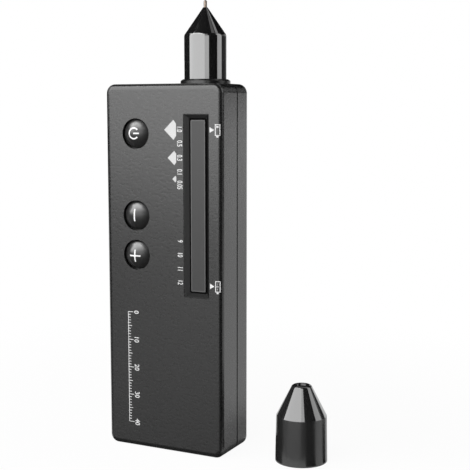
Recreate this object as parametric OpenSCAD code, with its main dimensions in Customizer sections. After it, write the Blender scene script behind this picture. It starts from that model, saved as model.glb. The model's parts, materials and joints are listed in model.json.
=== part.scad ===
// Hand-held gemstone tester: a flat case of two shells that stands on its lower end, a conical
// tip with a sprung copper pin, a row of lamps behind a sunk window, three push buttons and a
// loose cap that stands beside the case. Millimetres. The origin is the middle of the case's
// lower end, +X is to the right of the face, -Y points out of the face and +Z points up.

/* [Case] */
// Width of the case
body_w = 46; // [44:0.5:56]
// Depth of the case, front face to back face
body_d = 21; // [20:0.5:27]
// Height of the case without the tip
body_h = 129; // [126:1:150]
// Radius of the outline's corners, seen from the front
corner_r = 3.2; // [2.6:0.1:5]
// Radius of the edges of the front and back faces
edge_r = 2; // [0.8:0.1:2.4]
// Wall thickness of both shells
wall = 2; // [1.6:0.1:2.4]
// Depth of the front shell, front face to parting line
front_depth = 11.5; // [10.5:0.25:13.5]
// Height of the shadow line at the parting line
seam_h = 0.7; // [0.1:0.05:0.8]
// Depth of the shadow line
seam_depth = 0.6; // [0.1:0.05:0.7]
// Height of the rear shell's lip inside the front shell
lip_h = 1.2; // [0.8:0.1:2]
// Thickness of the lip
lip_t = 0.9; // [0.6:0.05:1]
// Clearance round the lip
lip_gap = 0.1; // [0.05:0.05:0.2]

/* [Case screws] */
// Distance of the case screws from the case's sides
screw_in_x = 4.2; // [3.8:0.1:5]
// Distance of the case screws from the case's ends
screw_in_z = 7.1; // [6:0.1:8]
// Thread diameter of the case screws
screw_d = 1.9; // [1.5:0.1:2.2]
// Length of the case screws under the head
screw_l = 8.5; // [6:0.5:10]
// Head diameter of all screws
screw_head_d = 3.4; // [3:0.1:3.6]
// Head height of all screws
screw_head_h = 1.2; // [0.8:0.1:1.6]
// Distance of the screw head's seat behind the parting line
screw_seat = 3.4; // [2:0.1:4.5]
// Radial clearance of a screw in its holes
screw_gap = 0.05; // [0.02:0.01:0.1]
// Wall of a screw boss round the thread
boss_wall = 1; // [0.8:0.05:1.1]

/* [Buttons] */
// Diameter of a button
button_d = 10.25; // [8:0.25:11]
// Distance of the button column from the case's left side
button_in = 12.5; // [11:0.25:15]
// Distance of the power button below the case's top
power_drop = 17.1; // [15:0.1:24]
// Distance of the minus button below the case's top
minus_drop = 45.6; // [36:0.1:54]
// Space between the minus and plus buttons
button_space = 3.6; // [3:0.1:12]
// Height of a button's crown above the front face
button_proud = 1.4; // [1:0.1:2]
// Radius of the crown's dome
button_dome_r = 6.5; // [6.5:0.5:30]
// Radius of the crown's edge
button_edge_r = 1.2; // [0.6:0.1:1.4]
// Radial gap round a button
button_gap = 0.2; // [0.12:0.02:0.35]
// Width of the flange that keeps a button in the case
flange_w = 1; // [0.6:0.1:1.4]
// Thickness of the flange
flange_t = 1; // [0.8:0.1:1.4]
// Length of the post that pushes the switch
post_l = 0.3; // [0.2:0.05:0.8]
// Travel of a button
button_travel = 0.4; // [0.2:0.05:0.5]

/* [Switches] */
// Side of a switch body
switch_w = 6; // [5:0.1:6.5]
// Height of a switch body
switch_h = 3.5; // [3:0.1:4.5]
// Diameter of a switch plunger
plunger_d = 3.4; // [2.4:0.1:4]
// Height of a plunger above its switch body
plunger_proud = 0.7; // [0.6:0.05:1.2]
// Length of a plunger inside its switch body
plunger_in = 1.2; // [0.8:0.1:1.6]
// Radial gap round a plunger
plunger_gap = 0.15; // [0.1:0.05:0.3]

/* [Window] */
// Distance of the slot's middle line from the case's right side
slot_in = 9.65; // [9.6:0.05:12]
// Width of the slot's floor beside the lens
slot_side = 2.2; // [1.2:0.05:2.4]
// Length of the slot's floor above and below the lens
slot_end = 2.05; // [1.2:0.05:3]
// Distance of the slot's upper end below the case's top
slot_drop = 10.25; // [10.2:0.05:14]
// Radius of the slot's corners
slot_r = 0.4; // [0.2:0.1:1]
// Depth of the slot's floor below the front face
slot_depth = 1.4; // [0.8:0.1:1.5]
// Depth of the window frame's front edge below the front face
frame_sink = 0.2; // [0.1:0.05:0.5]
// Width of the window frame's flat front edge
frame_lip = 0.2; // [0.1:0.05:0.4]
// Gap between the window frame and the slot
frame_gap = 0.08; // [0.05:0.01:0.15]
// Width of the window frame's rim behind the front wall
frame_rim_w = 0.8; // [0.6:0.1:1]
// Thickness of the window frame's rim
frame_rim_t = 1; // [0.7:0.1:1.2]
// Width of the lens
lens_w = 5.5; // [4.8:0.1:6.4]
// Length of the lens
lens_l = 58.7; // [48:0.1:68]
// Gap round the lens
lens_gap = 0.6; // [0.1:0.05:0.65]
// Height of the lens above the slot's floor
lens_proud = 0.15; // [0:0.05:0.5]
// Width of the lens's rim behind the frame
lens_rim_w = 1.05; // [0.8:0.05:1.2]
// Thickness of the lens's rim
lens_rim_t = 0.6; // [0.4:0.1:0.9]
// Number of lamps
lamp_count = 12; // [8:1:12]
// Distance of the first and last lamp from the lens's ends
lamp_inset = 2.45; // [2.4:0.05:3.2]
// Width of a lamp
lamp_w = 3; // [2:0.1:3.4]
// Length of a lamp along the row
lamp_l = 2.8; // [2:0.1:3]
// Height of a lamp's body on the board
lamp_h = 1.4; // [0.8:0.1:1.8]
// Wall of the baffle between and beside the lamps
baffle_wall = 0.8; // [0.5:0.1:1]

/* [Tip] */
// Distance of the tip's axis from the case's right side
tip_in = 11.5; // [11.2:0.1:15]
// Diameter of the tip's barrel
tip_d = 14.6; // [14:0.1:16]
// Length of the barrel above the collar
barrel_l = 14.9; // [14:0.1:20]
// Length of the cone
cone_l = 9.4; // [8:0.1:12]
// Diameter of the cone's end
cone_end_d = 1.6; // [1.6:0.05:2.6]
// Radius between barrel and cone
shoulder_r = 1.5; // [1:0.1:4]
// Width of the collar's foot beyond the barrel
collar_flare = 1.3; // [1:0.05:1.5]
// Width of the collar's upper edge beyond the barrel
collar_ledge = 0.5; // [0.3:0.05:0.9]
// Height of the collar
collar_h = 1.5; // [1.2:0.1:2.4]
// Height of the collar's straight foot
collar_foot = 0.95; // [0.3:0.05:1.1]
// Diameter of the base's stem through the case
stem_d = 8.6; // [8:0.1:9.4]
// Radial gap round the stem
stem_gap = 0.1; // [0.05:0.01:0.2]
// Diameter of the base's flange inside the case
base_flange_d = 11; // [10.4:0.1:12]
// Thickness of the base's flange
base_flange_t = 2.4; // [1.6:0.1:2.6]
// Height of the spigot that carries the tip shell
spigot_h = 3; // [2:0.1:4]
// Radial gap between spigot and tip shell
spigot_gap = 0.05; // [0.02:0.01:0.1]
// Bore of the base for the leads
lead_bore_d = 6.4; // [6:0.1:6.8]

/* [Probe] */
// Diameter of the copper pin
pin_d = 1.15; // [0.8:0.05:1.2]
// Height of the pin above the cone's end
pin_proud = 2.5; // [2:0.1:4]
// Radial gap round the pin in the cone
pin_gap = 0.1; // [0.08:0.01:0.12]
// Travel of the pin when it is pressed on a stone
pin_travel = 1; // [0.4:0.1:1.4]
// Wall of the tip shell round its bore
tip_wall = 1.7; // [1.5:0.05:1.9]
// Distance of the bore's end below the shoulder
tip_bore_end = 2.5; // [1.9:0.1:3.3]
// Radial gap of the carrier in the bore
carrier_gap = 0.1; // [0.05:0.01:0.2]
// Height of the carrier's disc
carrier_h = 3.7; // [3.2:0.1:4]
// Diameter of the carrier's nose
nose_d = 4.4; // [3.6:0.1:5]
// Height of the carrier's nose
nose_h = 3.4; // [2:0.1:3.6]
// Bore of the carrier's pocket
pocket_d = 6.6; // [6.2:0.1:7]
// Depth of the carrier's pocket
pocket_l = 2.6; // [2.2:0.1:2.8]
// Diameter of the heater bead
heater_d = 3.4; // [2.8:0.1:3.6]
// Height of the heater bead
heater_h = 1.4; // [1:0.1:1.6]
// Diameter of the thermistor bead
thermistor_d = 1.4; // [1:0.1:1.6]
// Mean diameter of the probe spring
spring_d = 8.2; // [7.8:0.1:8.8]
// Wire diameter of the probe spring
spring_wire = 0.7; // [0.5:0.05:0.75]
// Turns of the probe spring
spring_turns = 4; // [3:1:4]
// Clearance of the spring to its seats
spring_gap = 0.04; // [0.02:0.01:0.1]
// Diameter of a probe lead
probe_lead_d = 0.6; // [0.4:0.05:0.7]
// Distance of each probe lead from the tip's axis
probe_lead_r = 2.45; // [2.3:0.05:2.6]

/* [Cap] */
// Wall of the cap at its mouth
cap_wall = 1.55; // [1.1:0.05:2]
// Narrowing of the sleeve on each side, mouth to cone
cap_taper = 0.3; // [0:0.05:0.4]
// Height of the cap's sleeve
cap_sleeve_h = 15.9; // [15:0.1:20]
// Overall height of the cap
cap_h = 26.5; // [25:0.1:34]
// Diameter of the cap's closed end
cap_end_d = 6.6; // [5.6:0.1:8]
// Radius of the closed end's edge
cap_end_r = 0.9; // [0.4:0.1:1.4]
// Diameter of the dish in the closed end
cap_dish_d = 4; // [3:0.1:4.4]
// Depth of the dish
cap_dish = 0.4; // [0.2:0.05:0.6]
// Radial gap between cap and barrel
cap_gap = 0.15; // [0.08:0.01:0.3]
// Depth of the cap's straight bore
cap_bore_l = 14.5; // [12:0.1:15]
// Diameter of the hollow's end
cap_hollow_d = 3.6; // [2.6:0.1:4]
// Thickness of the closed end
cap_end_t = 1.9; // [1.2:0.1:2.4]
// Distance of the standing cap's axis from the case's right side
cap_out = 24.1; // [14:0.1:40]
// Place of the standing cap behind the middle
cap_y = 2.6; // [-20:0.1:20]

/* [Board] */
// Thickness of the main board
board_t = 1.6; // [1:0.1:1.6]
// Gap between board and side walls
board_gap = 1.2; // [0.6:0.1:2]
// Gap between board and the case's floor and roof
board_end_gap = 0.6; // [0.3:0.1:2.5]
// Gap between the board's notches and the screw bosses
board_notch_gap = 0.6; // [0.3:0.1:1]
// Distance of the board screws from the case's sides
board_screw_in = 6.5; // [6:0.1:8]
// Height of the two lower board screws
board_screw_low = 34; // [28:0.5:44]
// Distance of the upper board screw below the case's top
board_screw_drop = 31.4; // [29:0.1:34]
// Length of the board screws under the head
board_screw_l = 5; // [4:0.1:6]

/* [Electronics] */
// Width of the USB socket
usb_w = 8.94; // [8.9:0.01:9]
// Height of the USB socket
usb_h = 3.26; // [3.2:0.01:3.3]
// Length of the USB socket
usb_l = 7.3; // [6.5:0.1:9]
// Sheet thickness of the USB socket
usb_wall = 0.3; // [0.2:0.05:0.35]
// Distance of the USB socket's middle from the case's left side
usb_in = 14; // [13:0.1:16]
// Distance of the USB socket's mouth above the case's lower end
usb_sink = 0.8; // [0.4:0.1:1.4]
// Gap round the USB socket in the case
usb_gap = 0.35; // [0.2:0.05:0.5]
// Width of the socket's tongue
tongue_w = 6.7; // [6.4:0.05:6.9]
// Thickness of the socket's tongue
tongue_t = 0.7; // [0.6:0.05:0.8]
// Length of the block behind the tongue
tongue_block_l = 1.8; // [1.2:0.1:2.4]
// Gap between the block and the socket's sheet
tongue_gap = 0.05; // [0.02:0.01:0.1]
// Distance of the tongue's end inside the mouth
tongue_sink = 0.9; // [0.6:0.1:1.4]
// Diameter of the buzzer
buzzer_d = 12; // [9:0.5:14]
// Height of the buzzer
buzzer_h = 5; // [4:0.1:6.5]
// Diameter of the buzzer's sound hole
buzzer_hole_d = 2; // [1:0.1:3]
// Distance of the buzzer below the case's top
buzzer_drop = 30; // [26:0.5:36]
// Room left between the battery cell and the side walls
cell_side = 7; // [6:0.5:10]
// Length of the battery cell
cell_l = 48; // [40:0.5:50]
// Thickness of the battery cell
cell_t = 5.1; // [4:0.1:5.4]
// Radius of the battery cell's corners
cell_r = 1.5; // [0.5:0.1:2.4]
// Height of the battery cell's lower end
cell_z = 12; // [11:0.5:16]
// Thickness of the foam pad behind the battery cell
pad_t = 0.8; // [0.4:0.1:1.2]
// Distance of the pad's edge inside the cell's edge
pad_in = 2; // [1:0.5:6]
// Diameter of a battery lead
battery_lead_d = 1.2; // [0.8:0.1:1.6]

/* [Hidden] */
$fn = 96;
case_black = "#3c3c3e";
gloss_black = "#141416";
inner_black = "#1c1c1e";
board_green = "#1f5a36";
steel = "#b9bcc0";
copper = "#b8734a";
cream = "#e8e0cc";
foam_white = "#f0f0ee";
cell_silver = "#c4c8cc";

// Length by which a cutter runs past the face that it opens
over = 1;
// Depth by which bosses, ribs and legs reach into what carries them
root = 0.5;

y_front = -body_d / 2;
y_back = body_d / 2;
y_seam = y_front + front_depth;
y_front_in = y_front + wall;
y_back_in = y_back - wall;
x_in = body_w / 2 - wall;
z_floor = wall;
z_roof = body_h - wall;
screw_x = body_w / 2 - screw_in_x;
screw_places = [for (x = [-screw_x, screw_x], z = [screw_in_z, body_h - screw_in_z]) [x, z]];
boss_r = screw_d / 2 + boss_wall;
rib_t = 1.6;
rib_drop = lip_h + root;
head_gap = 0.1;
head_wall = 0.8;
head_bore_d = screw_head_d + 2 * head_gap;
rear_boss_r = head_bore_d / 2 + head_wall;
screw_hole_d = screw_d + 2 * screw_gap;

button_x = body_w / 2 - button_in;
power_z = body_h - power_drop;
minus_z = body_h - minus_drop;
plus_z = minus_z - button_d - button_space;
button_places = [power_z, minus_z, plus_z];
y_post = y_front_in + flange_t + post_l;
y_switch = y_post + plunger_proud;
y_board = y_switch + switch_h;
y_board_back = y_board + board_t;
post_d = 3;

slot_w = lens_w + 2 * slot_side;
slot_l = lens_l + 2 * slot_end;
slot_x = body_w / 2 - slot_in;
slot_z = body_h - slot_drop - slot_l / 2;
y_slot = y_front + slot_depth;
y_frame_back = y_front_in + frame_rim_t;
y_lens_back = y_frame_back + lens_rim_t;
lamp_span = lens_l - 2 * lamp_inset;
lamp_pitch = lamp_span / (lamp_count - 1);
lamp_places = [for (i = [0 : lamp_count - 1]) slot_z - lamp_span / 2 + i * lamp_pitch];
lamp_rim = 0.3;
lamp_dome_d = lamp_l - 2 * lamp_rim;
lamp_dome_h = 0.3;

tip_x = body_w / 2 - tip_in;
tip_y = 0;
collar_d = tip_d + 2 * collar_flare;
collar_top_d = tip_d + 2 * collar_ledge;
tip_bore_d = tip_d - 2 * tip_wall;
tip_bore_l = barrel_l - tip_bore_end;
z_collar = body_h + collar_h;
z_cone = z_collar + barrel_l;
z_tip = z_cone + cone_l;
z_pin = z_tip + pin_proud;
z_spigot = z_collar + spigot_h;
stop_gap = 0.05;
z_carrier_top = z_collar + tip_bore_l - stop_gap;
z_carrier = z_carrier_top - carrier_h;
nose_gap = 0.25;
nose_bore_d = nose_d + 2 * nose_gap;
z_nose_top = z_carrier_top + nose_h;
z_nose_bore = z_nose_top + nose_gap;
pin_hole_d = pin_d + 2 * pin_gap;
pin_hole_taper_l = 1.2;
pin_seat_gap = 0.02;
z_pin_foot = z_carrier + pocket_l - heater_h;
heater_gap = 0.02;
spring_low = z_spigot + spring_wire / 2 + spring_gap;
spring_high = z_carrier - spring_wire / 2 - spring_gap;
spring_sides = 6;
spring_rings = 8;

cap_x = body_w / 2 + cap_out;
cap_bore_d = tip_d + 2 * cap_gap;
cap_d = cap_bore_d + 2 * cap_wall;
cap_shoulder_d = cap_d - 2 * cap_taper;

board_w = 2 * (x_in - board_gap);
board_screw_x = body_w / 2 - board_screw_in;
board_z = z_floor + board_end_gap;
board_top = z_roof - board_end_gap - base_flange_t;
board_notch_x = screw_x - boss_r - board_notch_gap;
board_notch_low = screw_in_z + boss_r + board_notch_gap;
board_notch_high = body_h - board_notch_low;
board_screw_places = [
    [-board_screw_x, board_screw_low],
    [board_screw_x, board_screw_low],
    [-board_screw_x, body_h - board_screw_drop]
];

usb_x = body_w / 2 - usb_in;
usb_y = y_board_back + usb_h / 2;
usb_z = usb_sink;
cell_w = 2 * (x_in - cell_side);
cell_y = y_back_in - pad_t - cell_t;
cell_mid_y = cell_y + cell_t / 2;
cell_top = cell_z + cell_l;
probe_header_cover = 1.6;
probe_header_size = [7, tip_y - y_board_back + probe_header_cover, 4];
probe_header_drop = 3;
probe_header_top = board_top - probe_header_drop;
probe_lead_clear = 1.1;
probe_lead_top = z_carrier + pocket_l - pin_travel - probe_lead_clear;
battery_header_size = [8, 4, 5];
battery_header_x = -4;
battery_header_lift = 9;
battery_header_z = cell_top + battery_header_lift;
battery_lead_pitch = 3;
lead_sides = 8;
battery_lead_y = y_board_back + battery_header_size[1] / 2;
controller_size = [5.4, 1.7, 10];
controller_place = [4, 84];
controller_legs = 8;
charger_size = [4, 1.4, 5];
charger_place = [6, 18];
charger_legs = 4;
leg_size = [1.2, 0.5, 0.4];
coil_d = 6;
coil_h = 2.6;
coil_waist_d = 4;
coil_cheek = 0.6;
coil_lift = 7;
coil_place = [8, cell_top + coil_lift];
buzzer_in = 16;
buzzer_x = buzzer_in - body_w / 2;
buzzer_hole_l = 1;
// Short flat left between the socket's round ends
socket_flat = 0.02;
recess_w = 0.5;
recess_l = 2.2;
recess_depth = 0.7;

// Points along a battery lead, as [distance towards the board, height] shares of its run
lead_run = [[0, 0], [0, 0.2], [0.08, 0.38], [0.3, 0.55], [0.7, 0.66], [0.92, 0.76], [1, 0.88], [1, 1]];

// Outline helpers
function unit(v) = v / norm(v);
function spot(p) = [p[0], p[1]];
function before(points, i) = spot(points[(i + len(points) - 1) % len(points)]) - spot(points[i]);
function after(points, i) = spot(points[(i + 1) % len(points)]) - spot(points[i]);
function half_angle(points, i) = acos(unit(before(points, i)) * unit(after(points, i))) / 2;
function arc_reach(points, i) = points[i][2] / tan(half_angle(points, i));
function arc_ends(points, i) = points[i][2] == 0 ? [spot(points[i])] : [
    spot(points[i]) + unit(before(points, i)) * arc_reach(points, i),
    spot(points[i]) + unit(after(points, i)) * arc_reach(points, i)
];
function arc_centre(points, i) = spot(points[i])
    + unit(unit(before(points, i)) + unit(after(points, i))) * points[i][2] / sin(half_angle(points, i));

// Closed convex outline through [x, y, r] points, with a true arc of radius r at each corner
module round_outline(points) {
    polygon([for (i = [0 : len(points) - 1]) each arc_ends(points, i)]);
    for (i = [0 : len(points) - 1])
        if (points[i][2] > 0)
            translate(arc_centre(points, i)) circle(r = points[i][2]);
}

module round_rectangle(w, h, r) {
    round_outline([[-w / 2, -h / 2, r], [w / 2, -h / 2, r], [w / 2, h / 2, r], [-w / 2, h / 2, r]]);
}

// Four-sided taper from one y to another, with its width and length at both
module face_taper(x, z, y_from, y_to, size_from, size_to) {
    corners = [[-1, -1], [1, -1], [1, 1], [-1, 1]];
    near = [for (c = corners) [x + c[0] * size_from[0] / 2, y_from, z + c[1] * size_from[1] / 2]];
    far = [for (c = corners) [x + c[0] * size_to[0] / 2, y_to, z + c[1] * size_to[1] / 2]];
    polyhedron(
        concat(near, far),
        [[3, 2, 1, 0], [4, 5, 6, 7], [0, 1, 5, 4], [1, 2, 6, 5], [2, 3, 7, 6], [3, 0, 4, 7]]);
}

// Prism whose outline is drawn in X and Z, from y_from to y_to
module face_prism(x, z, y_from, y_to) {
    translate([x, y_from, z]) rotate([-90, 0, 0]) linear_extrude(y_to - y_from) children();
}

// Round rod along Y
module face_rod(x, z, y_from, y_to, d) {
    translate([x, y_from, z]) rotate([-90, 0, 0]) cylinder(h = y_to - y_from, d = d);
}

// Box between two opposite corners
module span_box(low, high) {
    translate(low) cube(high - low);
}

// Case form
module case_outline(inset) {
    round_rectangle(body_w - 2 * inset, body_h - 2 * inset, max(corner_r - inset, slot_r));
}

// Round bead that runs round a corner of the case's outline
module corner_bead() {
    rotate_extrude() intersection() {
        translate([corner_r - edge_r, 0]) circle(r = edge_r);
        translate([0, -edge_r]) square([corner_r, 2 * edge_r]);
    }
}

// Slab of the case's outline with a rounded edge round its face at z = 0
module rounded_slab(depth) {
    flat_w = body_w - 2 * corner_r;
    flat_h = body_h - 2 * corner_r;
    translate([0, 0, edge_r]) linear_extrude(depth - edge_r) case_outline(0);
    linear_extrude(depth) case_outline(edge_r);
    for (side = [-1, 1]) {
        translate([side * (body_w / 2 - edge_r), flat_h / 2, edge_r]) rotate([90, 0, 0])
            cylinder(h = flat_h, r = edge_r);
        translate([-flat_w / 2, side * (body_h / 2 - edge_r), edge_r]) rotate([0, 90, 0])
            cylinder(h = flat_w, r = edge_r);
        for (end = [-1, 1])
            translate([side * flat_w / 2, end * flat_h / 2, edge_r]) corner_bead();
    }
}

module case_prism(inset, y_from, y_to) {
    face_prism(0, body_h / 2, y_from, y_to) case_outline(inset);
}

module stem_hole() {
    translate([tip_x, tip_y, z_roof - over]) cylinder(h = wall + 2 * over, d = stem_d + 2 * stem_gap);
}

module socket_outline(grow) {
    round_rectangle(usb_w + 2 * grow, usb_h + 2 * grow, (usb_h - socket_flat) / 2 + grow);
}

module socket_hole() {
    translate([-usb_x, usb_y, -over]) linear_extrude(wall + 2 * over) socket_outline(usb_gap);
}

module front_shell() {
    color(case_black) difference() {
        union() {
            difference() {
                translate([0, y_front, body_h / 2]) rotate([-90, 0, 0])
                    rounded_slab(front_depth);
                case_prism(wall, y_front_in, y_seam + over);
                case_prism(wall - lip_t - lip_gap, y_seam - lip_h - lip_gap, y_seam + over);
            }
            for (place = screw_places) {
                face_rod(place[0], place[1], y_front_in - root, y_seam, 2 * boss_r);
                side = sign(place[0]);
                span_box(
                    [min(place[0], side * (x_in + root)), y_front_in - root, place[1] - rib_t / 2],
                    [max(place[0], side * (x_in + root)), y_seam - rib_drop, place[1] + rib_t / 2]);
            }
            for (place = board_screw_places)
                face_rod(place[0], place[1], y_front_in - root, y_board, 2 * boss_r);
        }
        for (z = button_places)
            face_rod(-button_x, z, y_front - over, y_front_in + over, button_d + 2 * button_gap);
        face_prism(slot_x, slot_z, y_front - over, y_front_in + over) round_rectangle(slot_w, slot_l, slot_r);
        for (place = screw_places)
            face_rod(place[0], place[1], y_front_in, y_seam + over, screw_hole_d);
        for (place = board_screw_places)
            face_rod(place[0], place[1], y_front_in, y_board + over, screw_hole_d);
        stem_hole();
        span_box(
            [tip_x - stem_d / 2 - stem_gap, tip_y, z_roof - over],
            [tip_x + stem_d / 2 + stem_gap, y_seam + over, body_h + over]);
        socket_hole();
    }
}

module rear_shell() {
    y_head = y_seam + screw_seat;
    color(case_black) difference() {
        union() {
            difference() {
                union() {
                    translate([0, y_back, body_h / 2]) rotate([90, 0, 0])
                        rounded_slab(body_d - front_depth);
                    case_prism(wall - lip_t, y_seam - lip_h, y_seam + root);
                }
                case_prism(wall, y_seam - lip_h - over, y_back_in);
            }
            for (place = screw_places)
                face_rod(place[0], place[1], y_seam, y_back_in + root, 2 * rear_boss_r);
        }
        difference() {
            span_box([-body_w, y_seam, -over], [body_w, y_seam + seam_h, body_h + over]);
            case_prism(seam_depth, y_seam - over, y_seam + seam_h + over);
        }
        for (place = screw_places) {
            face_rod(place[0], place[1], y_seam - over, y_back + over, screw_hole_d);
            face_rod(place[0], place[1], y_head, y_back + over, head_bore_d);
        }
        stem_hole();
        socket_hole();
    }
}

// Screw along Y whose head sits at y_seat and whose thread runs towards the face
module face_screw(x, z, y_seat, length) {
    difference() {
        union() {
            face_rod(x, z, y_seat - length, y_seat + root, screw_d);
            face_rod(x, z, y_seat, y_seat + screw_head_h, screw_head_d);
        }
        for (turn = [0, 90])
            translate([x, y_seat + screw_head_h - recess_depth, z]) rotate([0, turn, 0])
                translate([-recess_l / 2, 0, -recess_w / 2]) cube([recess_l, recess_depth + over, recess_w]);
    }
}

module case_screws() {
    color(steel)
        for (place = screw_places) face_screw(place[0], place[1], y_seam + screw_seat, screw_l);
}

module board_screws() {
    color(steel)
        for (place = board_screw_places) face_screw(place[0], place[1], y_board_back, board_screw_l);
}

// Window
module window_frame() {
    rim_w = slot_w + 2 * frame_rim_w;
    rim_l = slot_l + 2 * frame_rim_w;
    bevel_run = (slot_side - frame_gap - frame_lip - lens_gap) * slot_depth / (slot_depth - frame_sink);
    bevel_end = (slot_end - frame_gap - frame_lip - lens_gap) * slot_depth / (slot_depth - frame_sink);
    bevel_size = [lens_w + 2 * (lens_gap + bevel_run), lens_l + 2 * (lens_gap + bevel_end)];
    color(inner_black) difference() {
        union() {
            face_prism(slot_x, slot_z, y_front + frame_sink, y_frame_back)
                round_rectangle(slot_w - 2 * frame_gap, slot_l - 2 * frame_gap, slot_r);
            face_prism(slot_x, slot_z, y_front_in, y_frame_back) round_rectangle(rim_w, rim_l, slot_r);
        }
        face_taper(slot_x, slot_z, y_front, y_slot, bevel_size, [lens_w + 2 * lens_gap, lens_l + 2 * lens_gap]);
        face_prism(slot_x, slot_z, y_slot - over, y_frame_back + over)
            round_rectangle(lens_w + 2 * lens_gap, lens_l + 2 * lens_gap, slot_r);
    }
}

module window_lens() {
    color(inner_black) {
        face_prism(slot_x, slot_z, y_slot - lens_proud, y_lens_back) round_rectangle(lens_w, lens_l, slot_r);
        face_prism(slot_x, slot_z, y_frame_back, y_lens_back)
            round_rectangle(lens_w + 2 * lens_rim_w, lens_l + 2 * lens_rim_w, slot_r);
    }
}

module lamp_baffle() {
    cell_w_in = lens_w + 2 * lens_rim_w - 2 * baffle_wall;
    cell_l_in = lamp_pitch - baffle_wall;
    color(foam_white) difference() {
        face_prism(slot_x, slot_z, y_lens_back, y_board)
            round_rectangle(lens_w + 2 * lens_rim_w, lens_l + 2 * lens_rim_w, slot_r);
        for (z = lamp_places)
            span_box(
                [slot_x - cell_w_in / 2, y_lens_back - over, z - cell_l_in / 2],
                [slot_x + cell_w_in / 2, y_board + over, z + cell_l_in / 2]);
    }
}

module lamps() {
    color(cream) for (z = lamp_places) {
        span_box(
            [slot_x - lamp_w / 2, y_board - lamp_h, z - lamp_l / 2],
            [slot_x + lamp_w / 2, y_board, z + lamp_l / 2]);
        face_rod(slot_x, z, y_board - lamp_h - lamp_dome_h, y_board - lamp_h + lamp_dome_h, lamp_dome_d);
    }
}

// Buttons
module button_section() {
    body_r = button_d / 2;
    h_flange = post_l + flange_t;
    h_top = h_flange + wall + button_proud;
    dome_z = h_top - button_dome_r;
    edge_x = body_r - button_edge_r;
    edge_z = dome_z + sqrt(pow(button_dome_r - button_edge_r, 2) - edge_x * edge_x);
    meet_x = edge_x * button_dome_r / (button_dome_r - button_edge_r);
    square([post_d / 2, post_l + root]);
    translate([0, post_l]) square([body_r + flange_w, flange_t]);
    translate([0, post_l]) square([body_r, edge_z - post_l]);
    translate([edge_x, edge_z]) circle(r = button_edge_r);
    intersection() {
        translate([0, dome_z]) circle(r = button_dome_r);
        translate([0, h_flange]) square([meet_x, h_top]);
    }
}

module push_button(z) {
    color(gloss_black) translate([-button_x, y_post, z]) rotate([90, 0, 0]) rotate_extrude() button_section();
}

module power_button() { push_button(power_z); }
module minus_button() { push_button(minus_z); }
module plus_button() { push_button(plus_z); }

module plunger(z) {
    color(cream) face_rod(-button_x, z, y_post, y_switch + plunger_in, plunger_d);
}

module power_plunger() { plunger(power_z); }
module minus_plunger() { plunger(minus_z); }
module plus_plunger() { plunger(plus_z); }

module switch_bodies() {
    bore_end = y_switch + plunger_in + button_travel + plunger_gap;
    color(inner_black) for (z = button_places) difference() {
        face_prism(-button_x, z, y_switch, y_board) round_rectangle(switch_w, switch_w, slot_r);
        face_rod(-button_x, z, y_switch - over, bore_end, plunger_d + 2 * plunger_gap);
    }
}

// Board and what it carries
module main_board() {
    color(board_green) difference() {
        union() {
            span_box(
                [-board_notch_x, y_board, board_z],
                [board_notch_x, y_board_back, board_top]);
            span_box(
                [-board_w / 2, y_board, board_notch_low],
                [board_w / 2, y_board_back, board_notch_high]);
        }
        for (place = board_screw_places)
            face_rod(place[0], place[1], y_board - over, y_board_back + over, screw_hole_d);
    }
}

// Flat package on the back of the board with a row of legs along each long side
module chip(size, place, legs) {
    pitch = size[2] / legs;
    low = [place[0] - size[0] / 2, y_board_back, place[1] - size[2] / 2];
    color(inner_black) {
        translate(low) cube(size);
        for (i = [0 : legs - 1], side = [-1, 1])
            translate([
                place[0] + side * (size[0] + leg_size[0]) / 2 - leg_size[0] / 2,
                y_board_back,
                low[2] + (i + 0.5) * pitch - leg_size[2] / 2
            ]) cube(leg_size);
    }
}

module controller_chip() { chip(controller_size, controller_place, controller_legs); }
module charger_chip() { chip(charger_size, charger_place, charger_legs); }

module power_coil() {
    x = coil_place[0];
    z = coil_place[1];
    y_top = y_board_back + coil_h;
    color(copper) {
        face_rod(x, z, y_board_back, y_top, coil_waist_d);
        face_rod(x, z, y_board_back, y_board_back + coil_cheek, coil_d);
        face_rod(x, z, y_top - coil_cheek, y_top, coil_d);
    }
}

module buzzer() {
    z = body_h - buzzer_drop;
    y_top = y_board_back + buzzer_h;
    color(inner_black) difference() {
        face_rod(buzzer_x, z, y_board_back, y_top, buzzer_d);
        face_rod(buzzer_x, z, y_top - buzzer_hole_l, y_top + over, buzzer_hole_d);
    }
}

module battery_cell() {
    color(cell_silver) translate([0, cell_mid_y, cell_z]) linear_extrude(cell_l)
        round_rectangle(cell_w, cell_t, cell_r);
}

module battery_pad() {
    color(foam_white) span_box(
        [-cell_w / 2 + pad_in, cell_y + cell_t, cell_z + pad_in],
        [cell_w / 2 - pad_in, y_back_in, cell_top - pad_in]);
}

module battery_header() {
    x = battery_header_x - battery_header_size[0] / 2;
    color(foam_white) translate([x, y_board_back, battery_header_z]) cube(battery_header_size);
}

// Tube swept along points that lie in one plane of constant X
function lead_side(route, i) = unit(route[min(i + 1, len(route) - 1)] - route[max(i - 1, 0)]);
function lead_ring(route, i, d, sides) = [
    for (k = [0 : sides - 1])
        let(along = lead_side(route, i), across = cross([1, 0, 0], along))
            route[i] + d / 2 * (cos(360 * k / sides) * [1, 0, 0] + sin(360 * k / sides) * across)
];

module swept_tube(rings) {
    sides = len(rings[0]);
    last = len(rings) - 1;
    corners = [for (ring = rings) each ring];
    skin = [for (i = [0 : last - 1], k = [0 : sides - 1])
        let(a = i * sides + k, b = i * sides + (k + 1) % sides)
            each [[a, a + sides, b], [b, a + sides, b + sides]]];
    top = last * sides;
    foot = [for (k = [1 : sides - 2]) [0, k, k + 1]];
    head = [for (k = [1 : sides - 2]) [top, top + k + 1, top + k]];
    polyhedron(corners, concat(skin, foot, head));
}

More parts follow.
